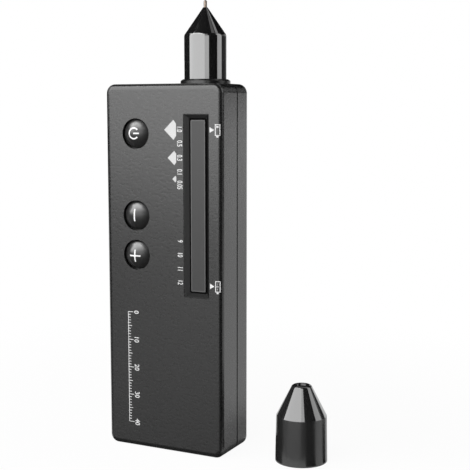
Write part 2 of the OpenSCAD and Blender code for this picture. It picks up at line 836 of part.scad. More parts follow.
module battery_leads() {
    rise = battery_header_z - cell_top;
    reach = battery_lead_y - cell_mid_y;
    color(copper) for (side = [-1, 1]) {
        x = battery_header_x + side * battery_lead_pitch / 2;
        route = [for (p = lead_run) [x, cell_mid_y + reach * p[0], cell_top + rise * p[1]]];
        swept_tube([for (i = [0 : len(route) - 1]) lead_ring(route, i, battery_lead_d, lead_sides)]);
    }
}

module usb_shell() {
    color(steel) translate([-usb_x, usb_y, usb_z]) difference() {
        linear_extrude(usb_l) socket_outline(0);
        translate([0, 0, -over]) linear_extrude(usb_l - usb_wall + over) socket_outline(-usb_wall);
    }
}

module usb_tongue() {
    block_z = usb_l - usb_wall - tongue_block_l;
    color(inner_black) translate([-usb_x, usb_y, usb_z]) {
        translate([0, 0, block_z]) linear_extrude(tongue_block_l) socket_outline(-usb_wall - tongue_gap);
        span_box([-tongue_w / 2, -tongue_t / 2, tongue_sink], [tongue_w / 2, tongue_t / 2, block_z + root]);
    }
}

// Tip and probe
module on_tip_axis() {
    translate([tip_x, tip_y, 0]) children();
}

module tip_base() {
    color(inner_black) on_tip_axis() difference() {
        union() {
            translate([0, 0, z_roof - base_flange_t]) cylinder(h = base_flange_t, d = base_flange_d);
            translate([0, 0, z_roof - root]) cylinder(h = wall + 2 * root, d = stem_d);
            rotate_extrude() round_outline([
                [0, body_h, 0],
                [collar_d / 2, body_h, 0],
                [collar_d / 2, body_h + collar_foot, 0],
                [collar_top_d / 2, z_collar, 0],
                [0, z_collar, 0]
            ]);
            translate([0, 0, z_collar - root]) cylinder(h = spigot_h + root, d = tip_bore_d - 2 * spigot_gap);
        }
        translate([0, 0, z_roof - base_flange_t - over])
            cylinder(h = z_spigot - z_roof + base_flange_t + 2 * over, d = lead_bore_d);
    }
}

module tip_shell() {
    color(gloss_black) on_tip_axis() difference() {
        rotate_extrude() round_outline([
            [0, z_collar, 0],
            [tip_d / 2, z_collar, 0],
            [tip_d / 2, z_cone, shoulder_r],
            [cone_end_d / 2, z_tip, 0],
            [0, z_tip, 0]
        ]);
        rotate_extrude() polygon([
            [0, z_collar - over],
            [tip_bore_d / 2, z_collar - over],
            [tip_bore_d / 2, z_collar + tip_bore_l],
            [nose_bore_d / 2, z_collar + tip_bore_l],
            [nose_bore_d / 2, z_nose_bore],
            [pin_hole_d / 2, z_nose_bore + pin_hole_taper_l],
            [pin_hole_d / 2, z_tip + over],
            [0, z_tip + over]
        ]);
    }
}

module probe_pin() {
    z_round = z_pin - pin_d / 2;
    color(copper) on_tip_axis() {
        translate([0, 0, z_pin_foot]) cylinder(h = z_round - z_pin_foot, d = pin_d);
        translate([0, 0, z_round]) sphere(d = pin_d);
    }
}

module probe_carrier() {
    color(cream) on_tip_axis() difference() {
        union() {
            translate([0, 0, z_carrier]) cylinder(h = carrier_h, d = tip_bore_d - 2 * carrier_gap);
            translate([0, 0, z_carrier_top - root]) cylinder(h = nose_h + root, d = nose_d);
        }
        translate([0, 0, z_carrier - over]) cylinder(h = pocket_l + over, d = pocket_d);
        translate([0, 0, z_carrier]) cylinder(h = carrier_h + nose_h + over, d = pin_d + 2 * pin_seat_gap);
    }
}

module probe_heater() {
    color(foam_white) on_tip_axis() translate([0, 0, z_pin_foot]) difference() {
        cylinder(h = heater_h, d = heater_d);
        translate([0, 0, -over]) cylinder(h = heater_h + 2 * over, d = pin_d + 2 * heater_gap);
    }
}

module probe_thermistor() {
    color(inner_black) on_tip_axis() translate([0, 0, z_pin_foot - thermistor_d / 2 - heater_gap])
        sphere(d = thermistor_d);
}

// Helix of wire between the spigot's top and the carrier
function spring_point(i) = let(turn = 360 * i / spring_rings, share = i / (spring_turns * spring_rings)) [
    spring_d / 2 * cos(turn),
    spring_d / 2 * sin(turn),
    spring_low + share * (spring_high - spring_low)
];
function spring_ring(i) = [
    for (k = [0 : spring_sides - 1])
        let(turn = 360 * i / spring_rings, out = [cos(turn), sin(turn), 0], angle = 360 * k / spring_sides)
            spring_point(i) + spring_wire / 2 * (cos(angle) * out + sin(angle) * [0, 0, 1])
];
spring_last = spring_turns * spring_rings;
spring_self_gap = min([
    for (i = [0 : spring_last], j = [0 : spring_last])
        if (j - i > spring_rings / 2) norm(spring_point(j) - spring_point(i)) - spring_wire
]);

module probe_spring() {
    echo(probe_spring_self_gap = spring_self_gap);
    color(steel) on_tip_axis() swept_tube([for (i = [0 : spring_last]) spring_ring(i)]);
}

module probe_header() {
    color(foam_white) translate([
        tip_x - probe_header_size[0] / 2,
        y_board_back,
        probe_header_top - probe_header_size[2]
    ]) cube(probe_header_size);
}

module probe_leads() {
    color(copper) for (side = [-1, 1])
        translate([tip_x + side * probe_lead_r, tip_y, probe_header_top])
            cylinder(h = probe_lead_top - probe_header_top, d = probe_lead_d);
}

module tip_cap() {
    color(gloss_black) translate([cap_x, cap_y, 0]) rotate_extrude() difference() {
        round_outline([
            [0, 0, 0],
            [cap_d / 2, 0, 0],
            [cap_shoulder_d / 2, cap_sleeve_h, 0],
            [cap_end_d / 2, cap_h, cap_end_r],
            [0, cap_h, 0]
        ]);
        polygon([
            [0, -over],
            [cap_bore_d / 2, -over],
            [cap_bore_d / 2, cap_bore_l],
            [cap_hollow_d / 2, cap_h - cap_end_t],
            [0, cap_h - cap_end_t]
        ]);
        translate([0, cap_h - cap_dish]) square([cap_dish_d / 2, cap_dish + over]);
    }
}

front_shell();
rear_shell();
case_screws();
window_frame();
window_lens();
lamp_baffle();
lamps();
power_button();
minus_button();
plus_button();
power_plunger();
minus_plunger();
plus_plunger();
switch_bodies();
main_board();
board_screws();
controller_chip();
charger_chip();
power_coil();
buzzer();
battery_cell();
battery_pad();
battery_header();
battery_leads();
usb_shell();
usb_tongue();
tip_base();
tip_shell();
probe_pin();
probe_carrier();
probe_heater();
probe_thermistor();
probe_spring();
probe_header();
probe_leads();
tip_cap();
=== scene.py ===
"""Looks of a hand-held gemstone tester: a flat black case with a sunk window and three domed
buttons, a glossy tip with a copper pin, and the cap that stands beside the case. Metres, in the
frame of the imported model: +X is to the right of the face, -Y points out of it and +Z points up."""

import json
import math

import bmesh
import bpy
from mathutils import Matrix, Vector


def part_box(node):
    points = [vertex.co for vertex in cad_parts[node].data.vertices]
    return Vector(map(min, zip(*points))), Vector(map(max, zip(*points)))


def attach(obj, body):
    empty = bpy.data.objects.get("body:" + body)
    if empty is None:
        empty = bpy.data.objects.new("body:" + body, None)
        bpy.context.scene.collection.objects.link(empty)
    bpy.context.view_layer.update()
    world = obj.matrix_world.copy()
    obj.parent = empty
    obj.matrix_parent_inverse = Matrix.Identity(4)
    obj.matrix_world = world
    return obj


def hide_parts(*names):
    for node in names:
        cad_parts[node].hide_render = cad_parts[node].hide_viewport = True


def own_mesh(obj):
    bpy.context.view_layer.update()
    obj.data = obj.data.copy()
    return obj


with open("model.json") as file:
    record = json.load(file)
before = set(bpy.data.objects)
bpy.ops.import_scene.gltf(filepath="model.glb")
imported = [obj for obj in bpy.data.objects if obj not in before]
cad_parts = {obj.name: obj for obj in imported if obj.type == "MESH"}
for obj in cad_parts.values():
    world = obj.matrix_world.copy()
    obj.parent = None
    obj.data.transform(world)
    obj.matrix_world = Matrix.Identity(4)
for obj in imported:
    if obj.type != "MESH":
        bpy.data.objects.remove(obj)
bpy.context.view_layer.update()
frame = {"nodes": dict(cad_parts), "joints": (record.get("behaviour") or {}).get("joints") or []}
nodes = frame["nodes"]

MM = 0.001

# Camera, as the photograph was taken
CAMERA_PLACE = Vector((181.44, -318.20, 119.35)) * MM
CAMERA_TURN = 26.497
CAMERA_TILT = 6.763
CAMERA_LENS = 79.40

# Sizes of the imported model

def middle_of(node):
    low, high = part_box(node)
    return (low + high) / 2


CASE_LOW, CASE_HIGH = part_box("front_shell")
FACE_Y = CASE_LOW.y
CASE_HALF_W = CASE_HIGH.x
EDGE_R = 2 * MM
DOME_R = 6.5 * MM
LENS_FLANGE = 1.05 * MM
TIP_AXIS = middle_of("tip_shell")
CAP_SHOULDER_Z = 15.9 * MM

# Places where a finish changes
SHOULDER_FADE = 0.2 * MM
THUMB_RIGHT = 2.2 * MM
THUMB_DROP = 1.5 * MM
THUMB_WEAR = (2.6 * MM, 5.4 * MM)
# Fades of the painted highlight along the lens rim and of the painted shade on its flange
RIM_HIGHLIGHT_FADE = (0.45 * MM, 0.2 * MM)
FLANGE_SHADE_FADE = (0.1 * MM, 0.3 * MM)


class Value:
    """One output of a shader node. Arithmetic on it adds Math nodes to its material."""

    def __init__(self, finish, socket):
        self.finish = finish
        self.socket = socket

    def math(self, operation, *values):
        return self.finish.add("ShaderNodeMath", {"operation": operation}, dict(enumerate(values)))

    def __add__(self, other):
        return self.math("ADD", self, other)

    def __radd__(self, other):
        return self.math("ADD", other, self)

    def __sub__(self, other):
        return self.math("SUBTRACT", self, other)

    def __rsub__(self, other):
        return self.math("SUBTRACT", other, self)

    def __mul__(self, other):
        return self.math("MULTIPLY", self, other)

    def __rmul__(self, other):
        return self.math("MULTIPLY", other, self)

    def __abs__(self):
        return self.math("ABSOLUTE", self)

    def larger(self, other):
        return self.math("MAXIMUM", self, other)

    def rise(self, low, high):
        """0 below low, 1 above high, and a smooth step between them."""
        settings = {"interpolation_type": "SMOOTHSTEP"}
        ends = {"Value": self, "From Min": low, "From Max": high}
        return self.finish.add("ShaderNodeMapRange", settings, ends)

    def blend(self, first, second):
        """The first colour where this value is 0, the second where it is 1."""
        colours = {"Factor": self, 6: first, 7: second}
        return self.finish.add("ShaderNodeMix", {"data_type": "RGBA"}, colours, 2)


class Finish:
    """A material in the making. add() puts any node into it."""

    def __init__(self, tree):
        self.tree = tree
        tree.nodes.clear()

    def add(self, kind, settings=None, inputs=None, output=0):
        node = self.tree.nodes.new(kind)
        for key, value in (settings or {}).items():
            setattr(node, key, value)
        for key, value in (inputs or {}).items():
            if isinstance(value, Value):
                self.tree.links.new(value.socket, node.inputs[key])
            else:
                node.inputs[key].default_value = value
        return Value(self, node.outputs[output]) if node.outputs else None

    def place(self):
        return self.add("ShaderNodeTexCoord", output="Object")

    def along(self, axis):
        return self.add("ShaderNodeSeparateXYZ", inputs={0: self.place()}, output=axis)

    def facing(self, axis):
        """Share of the surface's direction that points along an axis of the frame, from -1 to 1."""
        normal = self.add("ShaderNodeTexCoord", output="Normal")
        return self.add("ShaderNodeSeparateXYZ", inputs={0: normal}, output=axis)

    def grain(self, size, detail=2.0, stretch=(1, 1, 1)):
        """Noise from 0 to 1 whose spots are about size metres across."""
        at = self.add("ShaderNodeMapping", inputs={"Vector": self.place(), "Scale": stretch})
        return self.add("ShaderNodeTexNoise", inputs={"Vector": at, "Scale": 1 / size, "Detail": detail})

    def bump(self, height, depth):
        return self.add("ShaderNodeBump", inputs={"Height": height, "Distance": depth})

    def surface(self, **inputs):
        names = {name.replace("_", " "): value for name, value in inputs.items()}
        shader = self.add("ShaderNodeBsdfPrincipled", inputs=names)
        self.add("ShaderNodeOutputMaterial", inputs={"Surface": shader})


def grey(level):
    return (level, level, level, 1)


def new_finish(name):
    material = bpy.data.materials.new(name)
    material.use_nodes = True
    return material, Finish(material.node_tree)


def put(name, data):
    """New object in the scene."""
    thing = bpy.data.objects.new(name, data)
    bpy.context.scene.collection.objects.link(thing)
    return thing


# Finishes, one for each material slot of the record

def case_plastic(finish):
    """Satin black moulding with a fine spark-eroded grain, which handling has rubbed off its edges."""
    grain = finish.grain(0.22 * MM)
    mottle = finish.grain(0.8 * MM, 1.0, (0.5, 1, 1))
    square = abs(finish.facing("X")).larger(abs(finish.facing("Y"))).larger(abs(finish.facing("Z")))
    relief = (0.3 * grain + mottle - 0.65) * (0.2 + 0.8 * square.rise(0.86, 0.99))
    finish.surface(
        Base_Color=mottle.blend(grey(0.004), grey(0.007)),
        Roughness=0.22 + 0.08 * mottle + 0.05 * grain,
        IOR=1.65,
        Normal=finish.bump(relief, 0.024 * MM))


def gloss_plastic(finish):
    """Polished black moulding with a faint haze of handling."""
    haze = finish.grain(4 * MM, 3.0)
    finish.surface(
        Base_Color=haze.blend(grey(0.006), grey(0.009)),
        Roughness=0.05 + 0.03 * haze,
        IOR=1.5,
        Coat_Weight=1.0,
        Coat_Roughness=0.02,
        Coat_IOR=1.9,
        Normal=finish.bump(finish.grain(1.6 * MM), 0.001 * MM))


def cap_plastic(finish):
    """The cap: a polished cone above a satin sleeve."""
    haze = finish.grain(4 * MM, 3.0)
    polish = finish.along("Z").rise(CAP_SHOULDER_Z - SHOULDER_FADE, CAP_SHOULDER_Z + SHOULDER_FADE)
    finish.surface(
        Base_Color=haze.blend(grey(0.011), grey(0.015)),
        Roughness=0.25 - 0.2 * polish + 0.03 * haze,
        IOR=1.68,
        Coat_Weight=0.5 * polish,
        Coat_Roughness=0.02,
        Coat_IOR=1.9,
        Normal=finish.bump(finish.grain(1.6 * MM), 0.001 * MM))


def button_plastic(finish):
    """Glossy black caps, rubbed dull where the thumb lands, low and to the right of the middle."""
    haze = finish.grain(2.5 * MM, 3.0)
    low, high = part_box("power_button")
    size = high - low
    in_box = finish.add("ShaderNodeTexCoord", output="Generated")
    at = finish.add("ShaderNodeMapping", inputs={"Vector": in_box, "Scale": (size.x, 0, size.z)})
    thumb = (size.x / 2 + THUMB_RIGHT, 0, size.z / 2 - THUMB_DROP)
    reach = finish.add("ShaderNodeVectorMath", {"operation": "DISTANCE"}, {0: at, 1: thumb}, "Value")
    finish.surface(
        Base_Color=haze.blend(grey(0.012), grey(0.016)),
        Roughness=0.34 + 0.06 * haze,
        IOR=1.5,
        Coat_Weight=reach.rise(*THUMB_WEAR),
        Coat_Roughness=0.28,
        Coat_IOR=1.8,
        Normal=finish.bump(finish.grain(0.3 * MM), 0.002 * MM))


def trim_plastic(finish):
    """Dull black moulding with painted shade where it is seen at a low angle and on its sill."""
    grain = finish.grain(0.2 * MM)
    # Painted shade: the colour darkens where the surface is seen at a low angle.
    low_angle_shade = finish.add("ShaderNodeLayerWeight", inputs={"Blend": 0.5}, output="Facing")
    # Painted shade: the colour darkens on faces that point up, such as the sill.
    sill = finish.facing("Z").rise(0.1, 0.5)
    shade = low_angle_shade.rise(0.0, 0.8) + 0.2 * grain + 0.5 * sill
    finish.surface(
        Base_Color=shade.blend(grey(0.040), grey(0.004)),
        Roughness=0.42 + 0.08 * grain,
        Specular_IOR_Level=0.15,
        Normal=finish.bump(grain, 0.004 * MM))


def collar_plastic(finish):
    """The collar under the tip, smoother than the case."""
    grain = finish.grain(0.2 * MM)
    finish.surface(
        Base_Color=grain.blend(grey(0.008), grey(0.012)),
        Roughness=0.22 + 0.05 * grain,
        IOR=1.48,
        Normal=finish.bump(grain, 0.003 * MM))


def window_plastic(finish):
    """Smoked strip with faint lengthwise lines, a painted highlight on its rim, painted shade on the
    flange behind.
    """
    lines = finish.grain(0.5 * MM, 2.0, (1, 1, 0.02))
    low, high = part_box("window_lens")
    middle = middle_of("window_lens")
    edge = (high - low) / 2 - Vector((LENS_FLANGE, 0, LENS_FLANGE))
    # Paler colour near the edges: a painted highlight along the lens rim.
    rim_highlight_x = abs(finish.along("X") - middle.x).rise(*(edge.x - step for step in RIM_HIGHLIGHT_FADE))
    rim_highlight_z = abs(finish.along("Z") - middle.z).rise(*(edge.z - step for step in RIM_HIGHLIGHT_FADE))
    # Near-black colour on the flange: painted shade in the gap round the lens; the flange is also rougher.
    flange = finish.along("Y").rise(*(low.y + step for step in FLANGE_SHADE_FADE))
    strip = lines.blend(grey(0.023), grey(0.031))
    finish.surface(
        Base_Color=flange.blend(rim_highlight_x.larger(rim_highlight_z).blend(strip, grey(0.075)), grey(0.001)),
        Roughness=0.38 + 0.08 * lines + 0.5 * flange,
        Normal=finish.bump(finish.grain(0.25 * MM), 0.003 * MM))


def inner_plastic(finish):
    grain = finish.grain(0.3 * MM)
    finish.surface(
        Base_Color=grain.blend(grey(0.016), grey(0.028)),
        Roughness=0.45 + 0.12 * grain,
        Normal=finish.bump(grain, 0.006 * MM))


def white_plastic(finish):
    cloud = finish.grain(1.5 * MM)
    finish.surface(
        Base_Color=cloud.blend((0.72, 0.70, 0.64, 1), (0.80, 0.78, 0.74, 1)),
        Roughness=0.42 + 0.1 * cloud,
        Normal=finish.bump(finish.grain(0.3 * MM), 0.004 * MM))


def board_laminate(finish):
    """Green solder mask over the weave of the laminate."""
    warp = finish.grain(0.35 * MM, 1.0, (0.15, 1, 1))
    weft = finish.grain(0.35 * MM, 1.0, (1, 1, 0.15))
    weave = 0.5 * warp + 0.5 * weft
    finish.surface(
        Base_Color=weave.blend((0.008, 0.070, 0.030, 1), (0.016, 0.120, 0.048, 1)),
        Roughness=0.3 + 0.12 * weave,
        Normal=finish.bump(weave, 0.01 * MM))


def copper(finish):
    """Drawn copper, warm and a little tarnished."""
    tarnish = finish.grain(0.9 * MM, 4.0)
    drawn = finish.grain(0.12 * MM, 2.0, (1, 1, 0.05))
    finish.surface(
        Base_Color=tarnish.blend((0.80, 0.50, 0.33, 1), (0.62, 0.34, 0.20, 1)),
        Metallic=1.0,
        Roughness=0.2 + 0.12 * tarnish,
        Normal=finish.bump(drawn, 0.003 * MM))


def pin_copper(finish):
    """The pin: copper dulled to a brownish grey by use."""
    tarnish = finish.grain(0.5 * MM, 4.0)
    drawn = finish.grain(0.1 * MM, 2.0, (1, 1, 0.05))
    finish.surface(
        Base_Color=tarnish.blend((0.24, 0.20, 0.17, 1), (0.17, 0.135, 0.11, 1)),
        Metallic=1.0,
        Roughness=0.26 + 0.1 * tarnish,
        Normal=finish.bump(drawn, 0.002 * MM))


def steel(finish):
    cloud = finish.grain(0.8 * MM, 3.0)
    finish.surface(
        Base_Color=cloud.blend((0.50, 0.51, 0.53, 1), (0.62, 0.63, 0.65, 1)),
        Metallic=1.0,
        Roughness=0.26 + 0.14 * cloud,
        Normal=finish.bump(finish.grain(0.15 * MM), 0.004 * MM))


def ceramic_bead(finish):
    cloud = finish.grain(0.6 * MM, 3.0)
    finish.surface(
        Base_Color=cloud.blend((0.66, 0.62, 0.52, 1), (0.78, 0.74, 0.66, 1)),
        Roughness=0.5 + 0.15 * cloud,
        Normal=finish.bump(cloud, 0.01 * MM))


def cell_foil(finish):
    """Crinkled silver pouch foil."""
    crease = finish.grain(3.5 * MM, 4.0)
    finish.surface(
        Base_Color=crease.blend((0.58, 0.60, 0.62, 1), (0.72, 0.73, 0.75, 1)),
        Metallic=1.0,
        Roughness=0.32 + 0.12 * crease,
        Normal=finish.bump(crease, 0.08 * MM))


def foam(finish):
    cells = finish.grain(0.4 * MM, 3.0)
    finish.surface(
        Base_Color=cells.blend((0.66, 0.66, 0.64, 1), (0.80, 0.80, 0.78, 1)),
        Roughness=0.85 + 0.1 * cells,
        Normal=finish.bump(cells, 0.06 * MM))


def white_ink(name, low, high):
    """Pad-printed white with a slightly uneven lay-down."""
    material, finish = new_finish(name)
    cover = finish.grain(0.35 * MM, 3.0)
    finish.surface(
        Base_Color=cover.blend(grey(low), grey(high)),
        Roughness=0.5 + 0.12 * cover,
        Normal=finish.bump(cover, 0.003 * MM))
    return material


SLOT_FINISHES = (
    case_plastic, gloss_plastic, button_plastic, trim_plastic, window_plastic, inner_plastic,
    white_plastic, board_laminate, copper, steel, ceramic_bead, cell_foil, foam)
NODE_FINISHES = {"tip_cap": cap_plastic, "tip_base": collar_plastic, "probe_pin": pin_copper}


def dress_nodes():
    """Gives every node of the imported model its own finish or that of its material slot."""
    made = {}
    for paint in SLOT_FINISHES:
        made[paint.__name__], finish = new_finish(paint.__name__ + "_finish")
        paint(finish)
    for name, paint in NODE_FINISHES.items():
        made[name], finish = new_finish(paint.__name__ + "_finish")
        paint(finish)
    for name, node in nodes.items():
        slot = node.material_slots[0]
        slot.material = made[name if name in made else slot.material.name]


# Prints: thin raised ink that follows the surface under it

INK_RISE = 0.012 * MM
INK_SINK = 0.01 * MM
BOLDNESS = 0.012
FIGURE_STEPS = 6
FIGURE_NARROW = 0.9
LEAST_MITRE = 0.5


def face_depth(x, z):
    """Y of the front face, with its rounded long edges."""
    over = max(0, abs(x) - (CASE_HALF_W - EDGE_R))
    return FACE_Y + EDGE_R - math.sqrt(EDGE_R ** 2 - over ** 2)


def dome_depth(node):
    """Y of a button's dome, as a function of x and z."""
    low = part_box(node)[0]
    middle = middle_of(node)

    def depth(x, z):
        return low.y + DOME_R - math.sqrt(DOME_R ** 2 - (x - middle.x) ** 2 - (z - middle.z) ** 2)

    return depth


def ink_piece(name, polygons, depth, body, material):
    """One closed mesh over flat polygons of (x, z) points, which share points where they meet."""
    points = {}
    flat = []
    for polygon in polygons:
        keys = [(round(x / INK_SINK), round(z / INK_SINK)) for x, z in polygon]
        points.update(zip(keys, polygon))
        flat.append(list(dict.fromkeys(keys)))
    flat = [keys for keys in flat if len(keys) > 2]
    form = bmesh.new()
    front = {key: form.verts.new((x, depth(x, z) - INK_RISE, z)) for key, (x, z) in points.items()}
    back = {key: form.verts.new((x, depth(x, z) + INK_SINK, z)) for key, (x, z) in points.items()}
    sides = {(a, b) for keys in flat for a, b in zip(keys, keys[1:] + keys[:1])}
    for keys in flat:
        form.faces.new([front[key] for key in keys])
        form.faces.new([back[key] for key in reversed(keys)])
    for a, b in sides:
        if (b, a) not in sides:
            form.faces.new((front[b], front[a], back[a], back[b]))
    bmesh.ops.recalc_face_normals(form, faces=form.faces)
    mesh = bpy.data.meshes.new(name)
    form.to_mesh(mesh)
    form.free()
    mesh.materials.append(material)
    piece = put(name, mesh)
    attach(piece, body)


def ribbon(points, width, closed=False):
    """Quads of a band of even width along points."""
    spots = [Vector(point) for point in points]
    count = len(spots)
    left = []
    right = []
    for i, spot in enumerate(spots):
        ahead = spots[(i + 1) % count] if closed else spots[min(i + 1, count - 1)]
        behind = spots[i - 1] if closed or i > 0 else spots[0]
        before = (spot - behind).normalized() if spot != behind else (ahead - spot).normalized()
        after = (ahead - spot).normalized() if ahead != spot else before
        across = (before + after).normalized().orthogonal()
        reach = width / 2 / max(LEAST_MITRE, across.dot(after.orthogonal()))
        left.append(tuple(spot + across * reach))
        right.append(tuple(spot - across * reach))
    steps = range(count if closed else count - 1)
    return [(left[i], right[i], right[(i + 1) % count], left[(i + 1) % count]) for i in steps]


def line(start, end, steps=8):
    a = Vector(start)
    b = Vector(end)
    return [tuple(a.lerp(b, i / steps)) for i in range(steps + 1)]


def arc(centre, radius, start, end, steps=40):
    """Points round centre from start to end, in degrees from +X towards +Z."""
    turns = [math.radians(start + (end - start) * i / steps) for i in range(steps + 1)]
    return [(centre[0] + radius * math.cos(t), centre[1] + radius * math.sin(t)) for t in turns]


def glyphs(text):
    """Outline polygons of a number, one unit high, starting at the origin."""
    curve = bpy.data.curves.new("figures", "FONT")
    curve.body = text
    curve.resolution_u = FIGURE_STEPS
    curve.offset = BOLDNESS
    sample = put("figures", curve)
    shape = sample.evaluated_get(bpy.context.evaluated_depsgraph_get()).to_mesh()
    spots = [vertex.co.copy() for vertex in shape.vertices]
    polygons = [[spots[i] for i in polygon.vertices] for polygon in shape.polygons]
    bpy.data.objects.remove(sample)
    bpy.data.curves.remove(curve)
    low_x = min(spot.x for spot in spots)
    low_y = min(spot.y for spot in spots)
    high = max(spot.y for spot in spots) - low_y
    return [
        [((spot.x - low_x) / high, (spot.y - low_y) / high) for spot in polygon]
        for polygon in polygons]


def number(text, foot_x, height, middle_z, narrow=FIGURE_NARROW):
    """A number that reads downwards, its foot at foot_x and its middle at middle_z."""
    shapes = glyphs(text)
    length = max(u for polygon in shapes for u, v in polygon)
    return [
        [(foot_x + v * height, middle_z + (length / 2 - u) * height * narrow) for u, v in polygon]
        for polygon in shapes]


# Places of the prints on the face

STONE_TABLE_X = 5.65 * MM
STONES = ((6.8 * MM, 113.35 * MM), (4.9 * MM, 103.8 * MM), (2.3 * MM, 96.6 * MM))
TABLE_SHARE = 0.6
CROWN_SHARE = 0.15
PAVILION_SHARE = 0.53
SCALE_X = 6.0 * MM
SCALE_HEIGHT = 2.05 * MM
SCALE_NARROW = 0.62
SCALE_NUMBERS = (("1.0", 113.5), ("0.5", 108.75), ("0.3", 103.9), ("0.1", 99.15), ("0.05", 94.65))
LAMP_NUMBERS = (("9", 75.3), ("10", 70.5), ("11", 65.7), ("12", 60.9))
POINTER_X = 18.55 * MM
POINTER_SIZE = 1.9 * MM
POINTER_SHARE = 0.9
POINTERS = (113.4 * MM, 60.5 * MM)
BATTERY_X = 21.45 * MM
BATTERY_SIZE = (1.5 * MM, 3.6 * MM)
BATTERY_LINE = 0.28 * MM
KNOB_DROP = 0.45 * MM
KNOB_HALF = 0.4 * MM
KNOB_LINE = 0.45 * MM
LEVEL_DROP = 0.75 * MM
LEVEL_INSET = 0.35 * MM
LEVEL_LINE = 0.6 * MM
BOLT = ((0.1 * MM, 1.1 * MM), (-0.3 * MM, -0.05 * MM), (0.3 * MM, 0.05 * MM), (-0.1 * MM, -1.1 * MM))
BOLT_LINE = 0.25 * MM
RULE_X = -14.3 * MM
RULE_TOP = 49 * MM
RULE_LENGTH = 40
RULE_LINE = 0.22 * MM
RULE_STROKES = ((10, 2.0 * MM), (5, 1.5 * MM), (1, 1.0 * MM))
RULE_NUMBER_STEP = 10
RULE_NUMBER_X = RULE_X + 2.4 * MM
RULE_NUMBER_HEIGHT = 1.9 * MM


def stone_mark(width, z):
    """Side view of a cut stone, its table towards the window."""
    girdle_x = STONE_TABLE_X - CROWN_SHARE * width
    culet_x = girdle_x - PAVILION_SHARE * width
    table = TABLE_SHARE * width / 2
    girdle = width / 2
    return [
        (culet_x, z), (girdle_x, z - girdle), (STONE_TABLE_X, z - table), (STONE_TABLE_X, z + table),
        (girdle_x, z + girdle)]


def pointer_mark(z):
    half = POINTER_SIZE / 2
    return [(POINTER_X, z - half), (POINTER_X + POINTER_SHARE * POINTER_SIZE, z), (POINTER_X, z + half)]


def battery_mark(z):
    """Outline of a battery whose terminal points down."""
    half_w, half_l = (size / 2 for size in BATTERY_SIZE)
    low_x = BATTERY_X - half_w
    high_x = BATTERY_X + half_w
    low_z = z - half_l
    high_z = z + half_l
    corners = [(low_x, high_z), (high_x, high_z), (high_x, low_z), (low_x, low_z)]
    border = [spot for a, b in zip(corners, corners[1:] + corners[:1]) for spot in line(a, b)[:-1]]
    knob_z = low_z - KNOB_DROP
    knob = ribbon(line((BATTERY_X - KNOB_HALF, knob_z), (BATTERY_X + KNOB_HALF, knob_z)), KNOB_LINE)
    return ribbon(border, BATTERY_LINE, closed=True) + knob


def level_mark(z):
    """The last bar of charge."""
    bar_z = z + BATTERY_SIZE[1] / 2 - LEVEL_DROP
    half = BATTERY_SIZE[0] / 2 - LEVEL_INSET
    return ribbon(line((BATTERY_X - half, bar_z), (BATTERY_X + half, bar_z)), LEVEL_LINE)


def bolt_mark(z):
    """A small zigzag flash."""
    return ribbon([(BATTERY_X + right, z + up) for right, up in BOLT], BOLT_LINE)


def rule_marks():
    """Millimetre rule that reads downwards, with a longer stroke at each fifth and tenth line."""
    marks = ribbon(line((RULE_X, RULE_TOP), (RULE_X, RULE_TOP - RULE_LENGTH * MM)), RULE_LINE)
    for i in range(RULE_LENGTH + 1):
        stroke = next(length for step, length in RULE_STROKES if i % step == 0)
        z = RULE_TOP - i * MM
        marks += ribbon([(RULE_X + RULE_LINE / 2, z), (RULE_X + stroke, z)], RULE_LINE)
    for i in range(0, RULE_LENGTH + 1, RULE_NUMBER_STEP):
        marks += number(str(i), RULE_NUMBER_X, RULE_NUMBER_HEIGHT, RULE_TOP - i * MM)
    return marks


def print_face(material, stone_material):
    for i, (width, z) in enumerate(STONES):
        ink_piece(f"stone_print_{i + 1}", [stone_mark(width, z)], face_depth, "case", stone_material)
    for text, z in SCALE_NUMBERS + LAMP_NUMBERS:
        shapes = number(text, SCALE_X, SCALE_HEIGHT, z * MM, SCALE_NARROW)
        ink_piece(f"scale_print_{text}", shapes, face_depth, "case", material)
    low_z, charge_z = POINTERS
    for name, z, inner in (("low", low_z, level_mark), ("charge", charge_z, bolt_mark)):
        ink_piece(f"pointer_print_{name}", [pointer_mark(z)], face_depth, "case", material)
        ink_piece(f"battery_print_{name}", battery_mark(z) + inner(z), face_depth, "case", material)
    ink_piece("rule_print", rule_marks(), face_depth, "case", material)


# Signs on the buttons

SIGN_LINE = 0.5 * MM
POWER_RING_R = 1.85 * MM
POWER_GAP = 42
POWER_BAR = 2.05 * MM
SIGN_LENGTH = 4.3 * MM
SIGNS = (
    ("power_button", "power_key", 0.15 * MM),
    ("minus_button", "minus_key", 0.25 * MM),
    ("plus_button", "plus_key", -0.2 * MM))


def print_buttons(material):
    for node, body, lift in SIGNS:
        middle = middle_of(node)
        x = middle.x
        z = middle.z + lift
        half = SIGN_LENGTH / 2
        upright = ribbon(line((x, z - half), (x, z + half)), SIGN_LINE)
        if node == "power_button":
            ring = arc((x, z), POWER_RING_R, POWER_GAP, 360 - POWER_GAP)
            sign = ribbon(ring, SIGN_LINE) + ribbon(line((x, z), (x + POWER_BAR, z)), SIGN_LINE)
        elif node == "minus_button":
            sign = upright
        else:
            edge = SIGN_LINE / 2
            sign = upright + ribbon(line((x - half, z), (x - edge, z)), SIGN_LINE)
            sign += ribbon(line((x + edge, z), (x + half, z)), SIGN_LINE)
        ink_piece(f"{body}_print", sign, dome_depth(node), body, material)


# Spring behind the probe

COIL_TURNS = 4
COIL_RINGS = 128
WIRE_R = 0.35 * MM
WIRE_SIDES = 10


